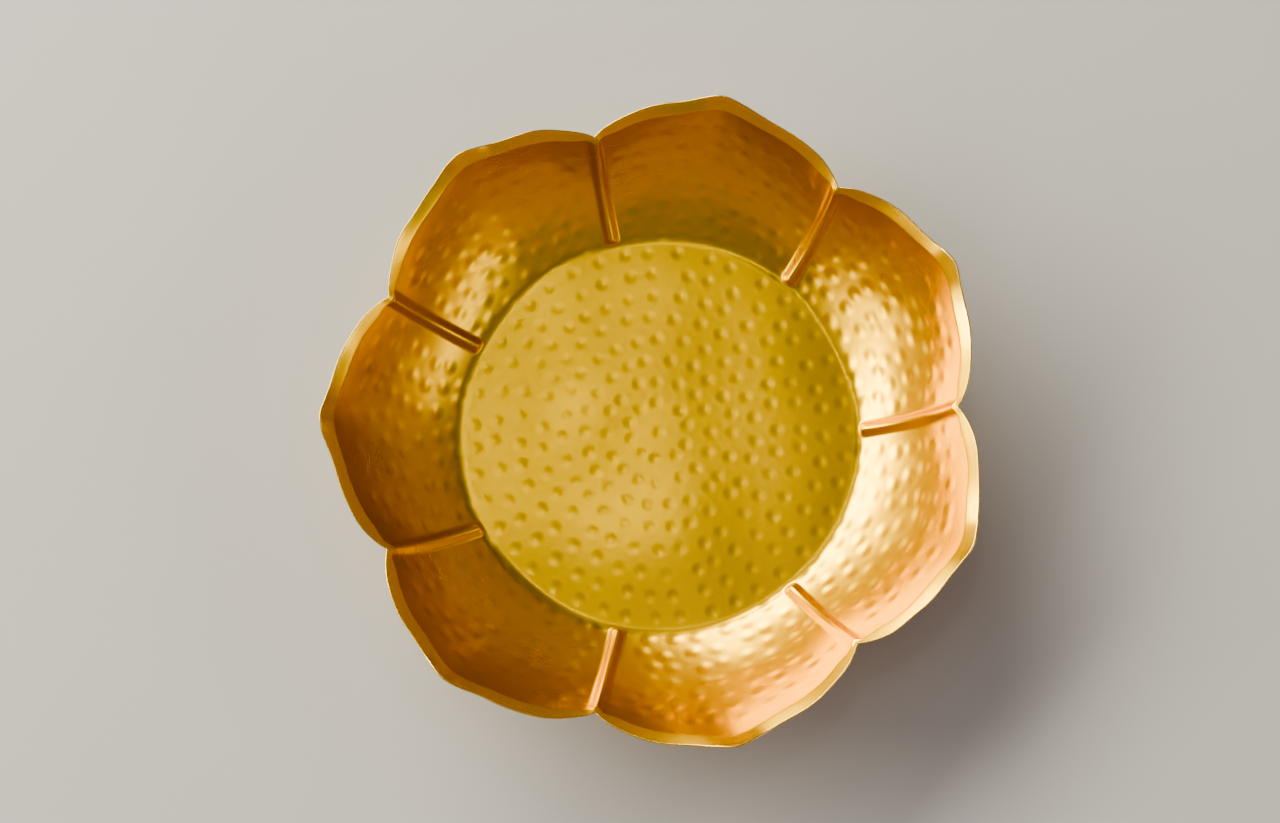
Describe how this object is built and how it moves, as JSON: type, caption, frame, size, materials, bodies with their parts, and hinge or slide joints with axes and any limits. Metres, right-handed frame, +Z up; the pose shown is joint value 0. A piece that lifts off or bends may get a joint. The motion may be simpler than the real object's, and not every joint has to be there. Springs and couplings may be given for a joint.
{
  "type": "urli bowl",
  "caption": "Wide shallow hammered brass urli bowl in the shape of a lotus, with turned-out petal edges, on a low brazed foot ring; holds water, floating flowers or candles.",
  "frame": {"origin": "centre of the ring face that the foot stands on, on the bowl's axis", "axes": "+Z up along the bowl's axis, out of its mouth; one petal tip points along -X and one crease lies along +X"},
  "size_m": [0.2917, 0.294, 0.0666],
  "materials": {
    "hammered_brass": "satin, hammered all over, lacquered",
    "foot_brass": "brushed strip, lightly tarnished",
    "braze": "dull, as brazed"
  },
  "bodies": {
    "root": {"bowl_shell": "hammered_brass", "foot_ring": "foot_brass", "foot_braze": "braze", "seam_braze": "braze"}
  },
  "joints": []
}
